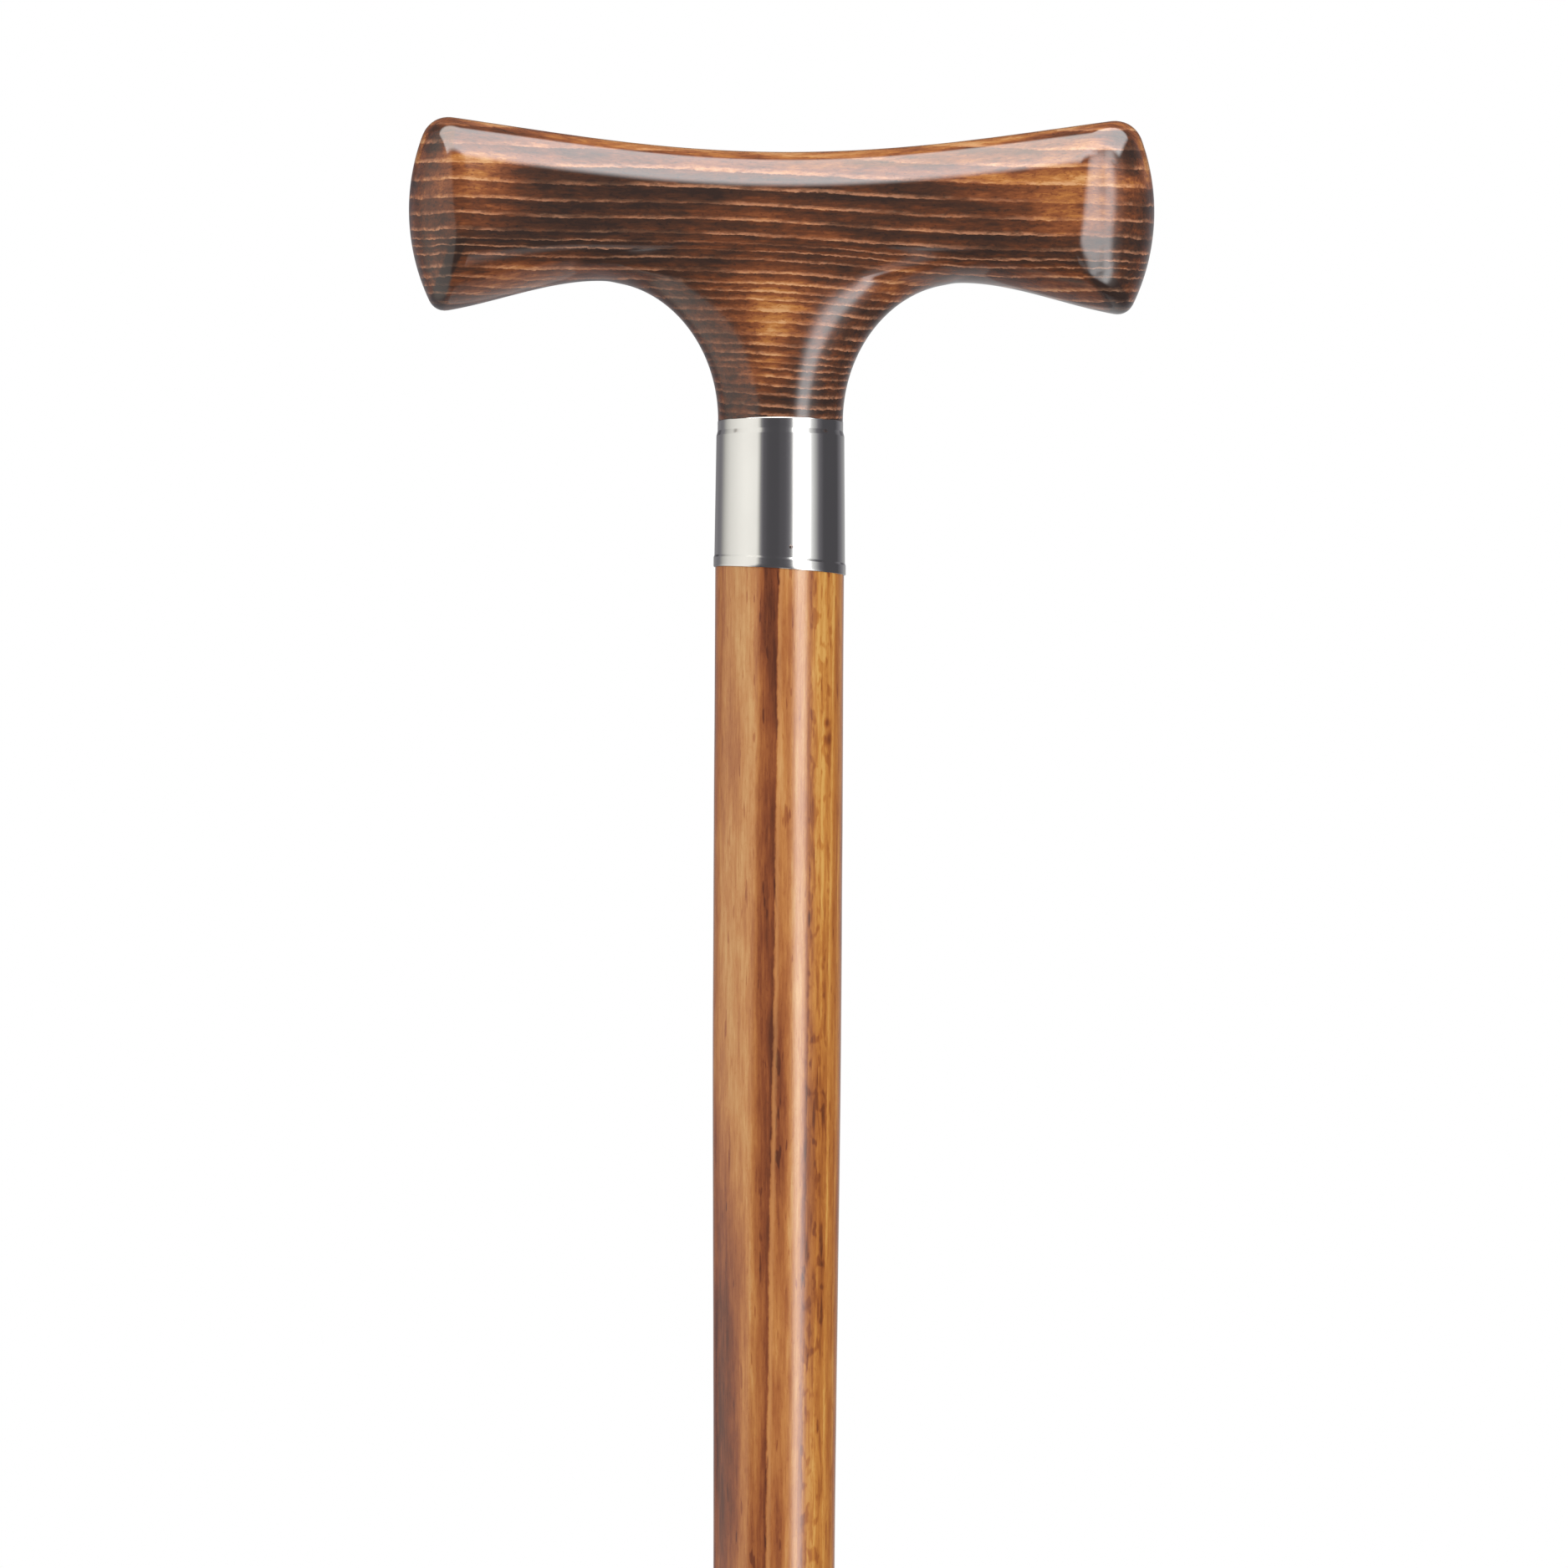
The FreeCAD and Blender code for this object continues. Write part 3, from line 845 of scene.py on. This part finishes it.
def make_handle_wood(rings, spot, fibres):
    """Beech scorched by flame, grain along the arms, under clear gloss lacquer."""
    material, tree, shader, point = new_material("scorched_beech_handle")
    x, y, z = parts_of(tree, point)
    height = calc(tree, "SUBTRACT", 130.0, from_heart(tree, point, (0.0, 1.0, 1.0), (0.0, -17.0, 130.0)))
    height = calc(tree, "ADD", height, spread(tree, x, -28.0, 48.0, -0.67, 1.53))
    height = calc(tree, "MULTIPLY_ADD", x, 0.010, height)
    height = with_waves(tree, height, point, HANDLE_WAVES)
    width = spread(tree, height, 14.0, 30.0, 0.42, 0.26)
    count = follow(tree, height, RING_COUNTS)
    ring = place_group(tree, rings, {"Rings": count, "Line Width": width, "Dark Start": 0.45})
    grain = place_group(tree, fibres, {"Point": point})
    depth = add_noise(tree, 0.71, point, (0.030, 0.05, 0.075), 0.50)
    depth = add_noise(tree, depth, point, (0.10, 0.24, 0.38), 0.70, 3.0, 0.6)
    depth = add_noise(tree, depth, point, (0.40, 0.9, 1.3), 0.60, 4.0, 0.65)
    # Includes painted reflection: lighter undersides of the arms where the floor would reflect
    depth = add_spots(tree, depth, point, spot, HANDLE_SPOTS)
    # Painted light: the crest along the top is made lighter, as if lit by the overhead softbox
    painted_top_light = times(tree, fall(tree, calc(tree, "ABSOLUTE", y), 6.0, 8.0), spread(tree, z, 37.0, 40.0))
    depth = calc(tree, "MULTIPLY_ADD", painted_top_light, -0.26, depth)
    depth = calc(tree, "ADD", depth, spread(tree, height, 36.5, 39.5, 0.0, -0.28))
    # Painted shade: a dark line along each lower ridge, standing in for the dark reflection there
    for ridge in PAINTED_RIDGE_SHADES:
        depth = calc(tree, "MULTIPLY_ADD", painted_ridge_shade(tree, point, *ridge), 0.90, depth)
    depth = calc(tree, "MULTIPLY_ADD", ring["Dark Wood"], 0.12, depth)
    depth = calc(tree, "ADD", depth, swing(tree, grain["Fibres"], 0.26))
    depth = calc(tree, "MULTIPLY_ADD", grain["Flecks"], 0.12, depth)
    fading = spread(tree, noise(tree, point, (0.06, 0.30, 0.40), 2.0), 0.36, 0.60, 0.16, 1.0)
    break_up = spread(tree, noise(tree, point, (0.45, 1.5, 1.7), 4.0, 0.7), 0.36, 0.58, 0.30, 1.0)
    calm = calc(tree, "MAXIMUM", spread(tree, x, -6.5, -2.5, 0.5, 1.0), spread(tree, z, 13.0, 24.0))
    lines = times(tree, times(tree, ring["Light Line"], times(tree, fading, calm)), break_up)
    depth = calc(tree, "MULTIPLY_ADD", lines, -0.36, depth, clamp=True)
    tint = mixed(tree, times(tree, lines, 0.50), ramp(tree, depth, SCORCH), colour(0.64, 0.33, 0.195))
    join(tree, tint, shader.inputs["Base Color"])
    join(tree, spread(tree, grain["Fibres"], 0.3, 0.7, 0.34, 0.48), shader.inputs["Roughness"])
    set_bump(tree, shader, grain["Height"], 0.12, 0.00006)
    set_lacquer(shader, 0.07)
    return material


SHAFT_WAVES = [
    ((0.06, 0.06, 0.010), 0.5, 1.0),
    ((0.3, 0.3, 0.05), 0.55, 2.0),
    ((1.0, 1.0, 0.30), 0.45, 2.0),
    ((2.4, 2.4, 1.2), 0.22, 1.0),
]

SHAFT_WOOD = [
    (0.00, colour(0.60, 0.33, 0.125)),
    (0.25, colour(0.49, 0.205, 0.062)),
    (0.50, colour(0.36, 0.122, 0.038)),
    (0.75, colour(0.225, 0.064, 0.025)),
    (1.00, colour(0.105, 0.032, 0.017)),
]

# How deep the scorching is from the left edge of the shaft to the right one
SHAFT_SCORCH = [
    (-12.0, 0.62), (-8.0, 0.58), (-7.3, 0.42), (-6.7, 0.27), (-5.5, 0.14), (-3.7, 0.20), (-2.9, 0.42),
    (-2.1, 0.72), (-0.25, 0.84), (0.0, 0.32), (1.0, 0.26), (1.9, 0.34), (3.0, 0.24), (4.6, 0.30),
    (5.0, 0.54), (6.0, 0.46), (6.5, 0.14), (7.4, 0.14), (8.0, 0.20), (8.7, 0.32), (9.4, 0.26),
    (10.2, 0.42), (12.0, 0.50),
]

SHAFT_SPOTS = [
    ((-7.3, -8.0, -54.0), (3.2, 14.0, 17.0), 0.22),
    ((-1.8, -10.0, -54.0), (3.0, 14.0, 13.0), -0.26),
    ((-2.0, -10.0, -30.0), (3.2, 14.0, 15.0), 0.24),
    ((7.7, -7.0, -48.6), (0.9, 8.0, 1.2), 0.40),
    ((7.8, -7.0, -51.4), (1.0, 8.0, 1.6), 0.36),
    ((-8.4, -7.0, -162.0), (5.6, 14.0, 72.0), 0.80),
    ((-3.4, -9.0, -150.0), (2.6, 14.0, 50.0), -0.40),
    ((0.5, -10.0, -108.0), (2.3, 14.0, 46.0), 0.54),
    ((6.3, -9.0, -122.0), (3.0, 14.0, 64.0), 0.46),
    ((0.2, -10.0, -180.0), (1.9, 14.0, 40.0), 0.34),
]


def specks(tree, point, across):
    """Dark specks and short streaks on the side of the shaft away from the heart."""
    small = spread(tree, noise(tree, point, (0.85, 0.85, 0.42), 1.0, 0.5), 0.52, 0.68)
    streaks = spread(tree, noise(tree, point, (1.2, 1.2, 0.13), 1.0, 0.5), 0.53, 0.70)
    place = times(tree, spread(tree, across, 4.8, 5.6), fall(tree, across, 8.9, 9.9))
    return times(tree, calc(tree, "MAXIMUM", small, streaks), place)


def make_shaft_wood(rings, spot, fibres):
    """Beech with its grain along the shaft, lightly scorched, under clear gloss lacquer."""
    material, tree, shader, point = new_material("scorched_beech_shaft")
    x, y, z = parts_of(tree, point)
    drift = times(tree, calc(tree, "SINE", calc(tree, "DIVIDE", calc(tree, "ADD", z, 35.0), 110.0)), 0.9)
    heart = from_heart(tree, point, (1.0, 1.0, 0.0), (62.0, 10.0, 0.0))
    across = calc(tree, "SUBTRACT", 65.3, calc(tree, "ADD", heart, drift))
    across = with_waves(tree, across, point, SHAFT_WAVES)
    lines = place_group(tree, rings, {"Rings": calc(tree, "DIVIDE", across, 1.9), "Line Width": 0.45})
    upright = node(tree, "CombineXYZ", {"X": z, "Y": x, "Z": y}).outputs["Vector"]
    grain = place_group(tree, fibres, {"Point": upright})
    depth = follow(tree, across, SHAFT_SCORCH)
    depth = add_noise(tree, depth, point, (0.16, 0.16, 0.025), 0.30)
    depth = add_noise(tree, depth, point, (0.45, 0.45, 0.09), 0.62, 3.0, 0.6)
    depth = add_noise(tree, depth, point, (1.5, 1.5, 0.07), 0.50, 3.0, 0.6)
    depth = add_spots(tree, depth, point, spot, SHAFT_SPOTS)
    right = spread(tree, across, 3.8, 4.6)
    depth = calc(tree, "MULTIPLY_ADD", times(tree, lines["Light Line"], right), -0.20, depth)
    depth = calc(tree, "MULTIPLY_ADD", specks(tree, point, across), 0.27, depth)
    ticks = spread(tree, noise(tree, point, (1.5, 1.5, 0.20), 1.0, 0.4), 0.68, 0.74)
    depth = calc(tree, "MULTIPLY_ADD", ticks, 0.25, depth)
    depth = calc(tree, "ADD", depth, swing(tree, grain["Fibres"], 0.26))
    depth = calc(tree, "MULTIPLY_ADD", grain["Flecks"], 0.05, depth, clamp=True)
    edge = spread(tree, calc(tree, "ABSOLUTE", calc(tree, "SUBTRACT", across, 0.25)), 0.0, 0.5, 0.35, 0.0)
    tint = mixed(tree, edge, ramp(tree, depth, SHAFT_WOOD), colour(0.62, 0.31, 0.12))
    tint = mixed(tree, spread(tree, across, 3.0, 6.5), tint, colour(1.0, 0.98, 0.70), "MULTIPLY")
    join(tree, tint, shader.inputs["Base Color"])
    join(tree, spread(tree, grain["Fibres"], 0.3, 0.7, 0.36, 0.50), shader.inputs["Roughness"])
    set_bump(tree, shader, grain["Height"], 0.12, 0.00006)
    set_lacquer(shader, 0.08)
    return material


def make_metal(name, tint, roughness, wear, scratch_stretch):
    """Polished metal with fine scratches and handling smudges."""
    material, tree, shader, point = new_material(name)
    marks = place_group(tree, wear, {"Point": point, "Scratch Stretch": scratch_stretch})
    shade = times(tree, marks["Smudges"], 0.35)
    dull = tuple(part * 0.86 for part in tint[:3]) + (1.0,)
    join(tree, mixed(tree, shade, tint, dull), shader.inputs["Base Color"])
    rough = calc(tree, "ADD", roughness, times(tree, marks["Smudges"], roughness * 0.5))
    rough = calc(tree, "ADD", rough, swing(tree, marks["Scratches"], roughness * 0.6))
    join(tree, rough, shader.inputs["Roughness"])
    set_bump(tree, shader, marks["Scratches"], 0.05, 0.00002)
    shader.inputs["Metallic"].default_value = 1.0
    return material


def make_rubber(wear):
    """Black moulded rubber, matt, with a mould line, scuffs and dust on its edges."""
    material, tree, shader, point = new_material("moulded_black_rubber")
    x, y, z = parts_of(tree, point)
    marks = place_group(tree, wear, {"Point": point, "Scratch Stretch": (1.4, 1.4, 1.4)})
    low = fall(tree, z, -RIM, -RIM + 9.0)
    scuffs = times(tree, low, spread(tree, noise(tree, point, (0.5, 0.5, 0.5), 4.0, 0.7), 0.42, 0.68))
    dust = times(tree, marks["Smudges"], 0.30)
    share = calc(tree, "ADD", times(tree, scuffs, 0.55), dust, clamp=True)
    tint = mixed(tree, share, colour(0.020, 0.020, 0.021), colour(0.105, 0.100, 0.092))
    join(tree, tint, shader.inputs["Base Color"])
    join(tree, spread(tree, marks["Smudges"], 0.0, 1.0, 0.50, 0.72), shader.inputs["Roughness"])
    pebbles = noise(tree, point, (3.2, 3.2, 3.2), 2.0, 0.6)
    seam = fall(tree, calc(tree, "ABSOLUTE", y), 0.10, 0.32)
    height = calc(tree, "ADD", times(tree, pebbles, 0.35), seam)
    set_bump(tree, shader, height, 0.55, 0.00012)
    return material


def dress(piece, material):
    piece.data.materials.clear()
    piece.data.materials.append(material)


# Studio

WARM = (1.0, 0.985, 0.94)
COOL = (0.97, 0.985, 1.0)
WHITE = (1.0, 1.0, 1.0, 1.0)
# Name, azimuths of the sides, distance, heights of the ends, brightness and tint of the upright softboxes
SOFTBOXES = [
    ("left_card", (-117, -34), 0.85, (0.1, 1.9), 1.15, WARM),
    ("right_softbox", (21, 52), 1.0, (0.2, 1.9), 3.2, COOL),
    ("right_scrim", (48, 73), 1.05, (0.2, 1.9), 1.2, COOL),
]


def aim(thing, place, target):
    thing.location = place
    thing.rotation_mode = "QUATERNION"
    thing.rotation_quaternion = (Vector(target) - Vector(place)).to_track_quat("-Z", "Y")


def around(azimuth, distance, height):
    """Place round the cane; azimuth 0 is the camera's side and 90 is to the right."""
    angle = math.radians(azimuth)
    return Vector((math.sin(angle) * distance, -math.cos(angle) * distance, height))


def add_lamp(name, place, target, width, height, brightness, tint):
    """Rectangular softbox as bright as brightness times white. The tent shows its face in reflections."""
    light = bpy.data.lights.new(name, "AREA")
    light.shape = "RECTANGLE"
    light.size, light.size_y = width, height
    light.energy = brightness * math.pi * width * height
    light.color = tint
    lamp = bpy.data.objects.new(name, light)
    bpy.context.scene.collection.objects.link(lamp)
    aim(lamp, place, target)
    lamp.visible_camera = False
    lamp.visible_glossy = False
    return lamp


def add_upright(name, sides, distance, ends, brightness, tint):
    """Upright softbox that fills the view from the cane between two azimuths."""
    width = 2 * distance * math.tan(math.radians(sides[1] - sides[0]) / 2)
    centre = sum(ends) / 2
    place = around(sum(sides) / 2, distance, centre)
    return add_lamp(name, place, (0, 0, centre), width, ends[1] - ends[0], brightness, tint)


# Brightness of the cloth round the horizon, by azimuth: the warm card on the left, the softbox on the right
BELT = [
    (-180, 0.30), (-165, 0.27), (-150, 0.24), (-138, 0.20), (-129, 0.23), (-122, 0.36), (-114, 0.56),
    (-101, 0.79), (-90, 0.88), (-80, 0.96), (-70, 1.02), (-61, 1.04), (-53, 1.02), (-42, 0.98), (-38, 0.70),
    (-35, 0.30), (-30, 0.13), (-21, 0.09), (-6, 0.08), (1.5, 0.10), (9, 0.11), (16, 0.17), (21, 0.42),
    (26, 2.0), (31, 5.2), (35, 6.8), (43, 6.8), (48, 4.6), (53, 1.9), (58, 0.90), (66, 0.48), (74, 0.17),
    (84, 0.09), (106, 0.06), (119, 0.07), (136, 0.20), (150, 0.34), (167, 0.45), (180, 0.50),
]
# How far the softboxes' faces lean outwards below the horizon, by elevation
LEFT_LEAN = [(-90, 62), (-32, 24), (-16, 13), (-9, 9), (0, 0), (90, 0)]
RIGHT_LEAN = [(-90, 12.5), (-35, 12.5), (-15, 5), (0, 0), (90, 0)]
DARK_CLOTH = 0.085              # brightness of the gaps between the softboxes
FLOOR_GLOW = 1.1                # and of the lit paper low on the right
OVERHEAD_FACE = (9.4, 4.4)      # and of the overhead softbox, from its front edge to its back edge


def make_tent(centre, radius):
    """Ball of cloth round the whole studio, a backdrop that shows in reflections only."""
    rows, columns = 24, 48
    points = []
    for row in range(rows + 1):
        elevation = math.pi * (row / rows - 0.5)
        for column in range(columns):
            azimuth = 360 * column / columns
            points.append(around(azimuth, radius * math.cos(elevation), radius * math.sin(elevation)))
    faces = band_faces([(row, row + 1) for row in range(rows)], columns)
    tent = make_piece("reflection_tent", points, faces, None)
    tent.location = (0, 0, centre)
    material = bpy.data.materials.new("tent_cloth")
    tree = fresh_tree(material)
    x, y, z = parts_of(tree, vector_calc(tree, "NORMALIZE", object_point(tree)))
    azimuth = calc(tree, "DEGREES", calc(tree, "ARCTAN2", x, times(tree, y, -1.0)))
    elevation = calc(tree, "DEGREES", calc(tree, "ARCSINE", z))
    is_left = fall(tree, azimuth, -4.0, 4.0)
    is_right = calc(tree, "SUBTRACT", 1.0, is_left)
    left_lean, right_lean = follow(tree, elevation, LEFT_LEAN), follow(tree, elevation, RIGHT_LEAN)
    lean = calc(tree, "SUBTRACT", times(tree, is_left, left_lean), times(tree, is_right, right_lean))
    level = calc(tree, "ADD", azimuth, lean)
    level = calc(tree, "MINIMUM", level, times(tree, is_right, 180.0))
    level = calc(tree, "MAXIMUM", level, times(tree, is_left, -180.0))
    top = spread(tree, calc(tree, "ABSOLUTE", azimuth), 112.0, 150.0, 54.0, 10.0)
    belt = fall(tree, calc(tree, "SUBTRACT", elevation, top), -9.0, 9.0)
    belt = times(tree, belt, spread(tree, elevation, -74.0, -58.0))
    light = calc(tree, "MAXIMUM", times(tree, follow(tree, level, BELT), belt), DARK_CLOTH)
    glow = times(tree, soft_band(tree, azimuth, -4, 62, 9, 9), soft_band(tree, elevation, -68, -46, 12, 10))
    light = calc(tree, "MAXIMUM", light, times(tree, glow, FLOOR_GLOW))
    up = calc(tree, "MAXIMUM", z, 0.05)
    forward = calc(tree, "DIVIDE", y, up)
    sideways = calc(tree, "ABSOLUTE", calc(tree, "DIVIDE", x, up))
    overhead = times(tree, soft_band(tree, forward, -0.62, 0.45, 0.12, 0.08), spread(tree, z, 0.35, 0.5))
    overhead = times(tree, overhead, fall(tree, sideways, 0.95, 1.25))
    face = spread(tree, forward, -0.5, 0.45, *OVERHEAD_FACE, smooth=False)
    light = calc(tree, "MAXIMUM", light, times(tree, overhead, face))
    tint = mixed(tree, fall(tree, azimuth, -30.0, -20.0), colour(0.985, 0.99, 1.0), colour(*WARM))
    tint = mixed(tree, spread(tree, light, 0.12, 0.45), colour(0.93, 0.90, 1.0), tint)
    put_out(tree, node(tree, "Emission", {"Color": tint, "Strength": light}))
    dress(tent, material)
    tent.visible_camera = False
    tent.visible_diffuse = False
    tent.visible_transmission = False
    tent.visible_shadow = False
    tent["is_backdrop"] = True
    return tent


def shown_directly(tree):
    """1 for rays of the camera, of mirrors and of glass, 0 for the rest."""
    path = node(tree, "LightPath").outputs
    total = calc(tree, "ADD", path["Is Camera Ray"], path["Is Glossy Ray"], clamp=True)
    return calc(tree, "ADD", total, path["Is Transmission Ray"], clamp=True)


def with_white(tree, plain, white, share):
    """Mixes a plain shader with a white one."""
    both = node(tree, "MixShader", {"Fac": share})
    tree.links.new(plain.outputs[0], both.inputs[1])
    tree.links.new(white.outputs[0], both.inputs[2])
    return both


def make_world(fill):
    """Dim fill light behind a white backdrop."""
    world = bpy.data.worlds.new("studio")
    bpy.context.scene.world = world
    tree = fresh_tree(world)
    dim = node(tree, "Background", {"Color": colour(1.0, 0.99, 0.97), "Strength": fill})
    white = node(tree, "Background", {"Color": WHITE, "Strength": 1.0})
    put_out(tree, with_white(tree, dim, white, shown_directly(tree)), "World")


def make_floor():
    """Pale round floor that fades into the white backdrop away from the cane."""
    sides, radius = 64, 3.2
    rim = [around(90 - 360 * index / sides, radius, 0) for index in reversed(range(sides))]
    floor = make_piece("studio_floor", rim, [range(sides)], None)
    material = bpy.data.materials.new("pale_paper")
    tree = fresh_tree(material)
    place = object_point(tree)
    distance = vector_calc(tree, "LENGTH", place)
    paper = noise(tree, place, (160.0, 160.0, 160.0), 3.0, 0.6)
    tone = mixed(tree, spread(tree, paper, 0.3, 0.7), colour(0.80, 0.80, 0.79), colour(0.84, 0.84, 0.83))
    matt = node(tree, "BsdfDiffuse", {"Color": tone})
    white = node(tree, "Emission", {"Color": WHITE, "Strength": 1.0})
    share = times(tree, spread(tree, distance, 0.25, 1.5), shown_directly(tree))
    put_out(tree, with_white(tree, matt, white, share))
    dress(floor, material)
    floor.visible_glossy = False        # the tent reaches under the floor and shows in reflections there
    floor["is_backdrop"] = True
    return floor


def make_camera():
    """Camera of the photograph, level and very slightly rolled."""
    data = bpy.data.cameras.new("camera")
    data.sensor_width = SENSOR
    data.lens = SENSOR * CAMERA_DISTANCE / PHOTO_WIDTH
    camera = bpy.data.objects.new("camera", data)
    bpy.context.scene.collection.objects.link(camera)
    camera.location = (CAMERA_SIDE, -CAMERA_DISTANCE, CAMERA_HEIGHT)
    camera.rotation_euler = (math.radians(90), math.radians(-CAMERA_ROLL), 0)
    bpy.context.scene.camera = camera


rings = growth_ring_group()
spot = soft_spot_group()
fibres = fibre_group()
wear = surface_wear_group()

handle_wood = make_handle_wood(rings, spot, fibres)
shaft_wood = make_shaft_wood(rings, spot, fibres)
chrome = make_metal("bright_nickel", colour(0.82, 0.81, 0.785), 0.08, wear, (0.35, 0.35, 9.0))
pin_steel = make_metal("darkened_pin_steel", colour(0.16, 0.13, 0.12), 0.35, wear, (3.0, 3.0, 3.0))
zinc_steel = make_metal("zinc_plated_steel", colour(0.58, 0.58, 0.56), 0.30, wear, (4.0, 4.0, 4.0))
rubber = make_rubber(wear)

dress(make_handle(), handle_wood)
dress(make_shaft(), shaft_wood)
dress(make_collar(), chrome)
dress(make_brad(), pin_steel)
dress(make_ferrule(), rubber)
for name in ("handle_stud", "ferrule_washer"):
    dress(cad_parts[name], zinc_steel)

for softbox in SOFTBOXES:
    add_upright(*softbox)
add_lamp("overhead_softbox", (0, 0.305, 1.62), (0, 0.305, 0), 1.5, 1.27, 2.0, (1.0, 0.985, 0.97))
make_tent(0.88, 1.4)
make_world(0.22)
make_floor()
make_camera()
bpy.context.scene.view_settings.view_transform = "Standard"

visual_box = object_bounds()
({
    "cad": [list(corner) for corner in cad_box],
    "visual": [list(corner) for corner in visual_box],
})
